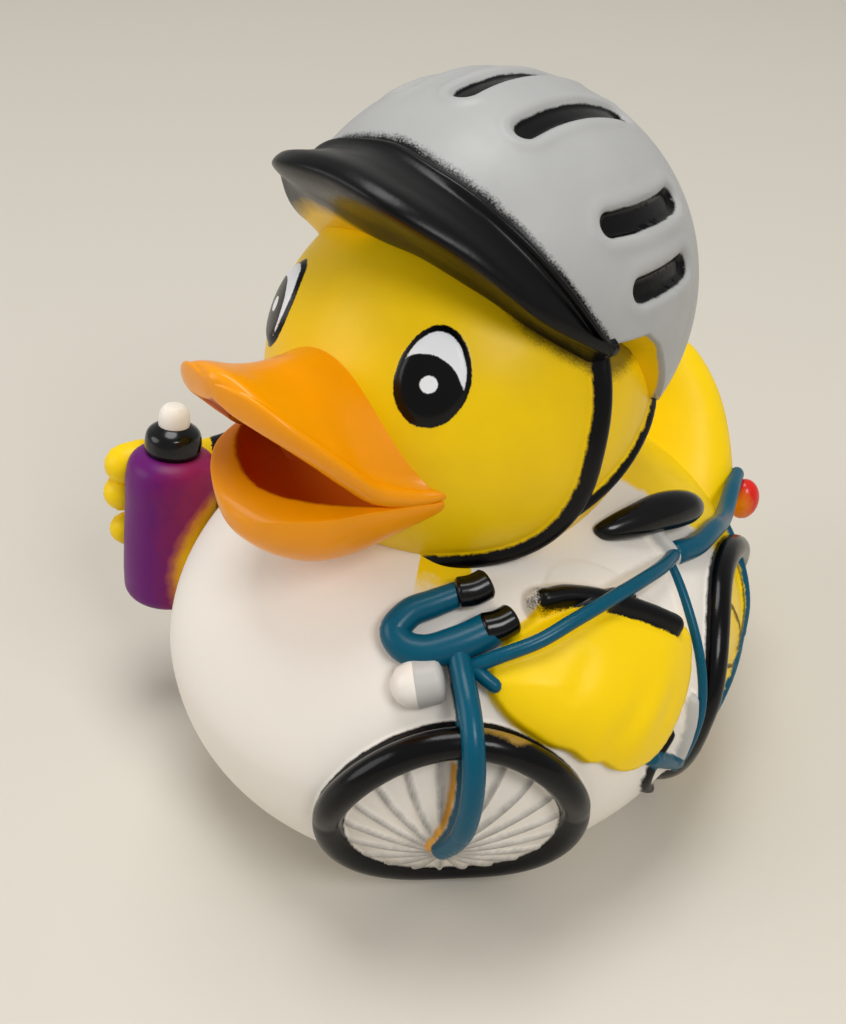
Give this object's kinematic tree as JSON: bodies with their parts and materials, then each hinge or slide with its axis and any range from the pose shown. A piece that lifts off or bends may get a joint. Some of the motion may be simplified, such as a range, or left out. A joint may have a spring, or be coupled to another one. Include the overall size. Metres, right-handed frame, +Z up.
{
  "type": "rubber duck",
  "caption": "Vinyl duck dressed as a cyclist, with a peaked helmet, open beak, drinks bottle in one wing and a bicycle in relief round its body; it stands on a flat base.",
  "frame": {"origin": "middle of the flat base, on the surface it stands on", "axes": "+Z up, the duck looks along -Y, +X is its left, the side the bicycle is on"},
  "size_m": [0.0824, 0.0876, 0.0923],
  "materials": {
    "yellow_vinyl": "satin",
    "orange_paint": "gloss",
    "grey_paint": "satin",
    "black_paint": "gloss",
    "white_paint": "satin",
    "blue_paint": "satin",
    "purple_paint": "satin",
    "red_paint": "gloss"
  },
  "bodies": {
    "root": {"duck": "yellow_vinyl"}
  },
  "joints": []
}
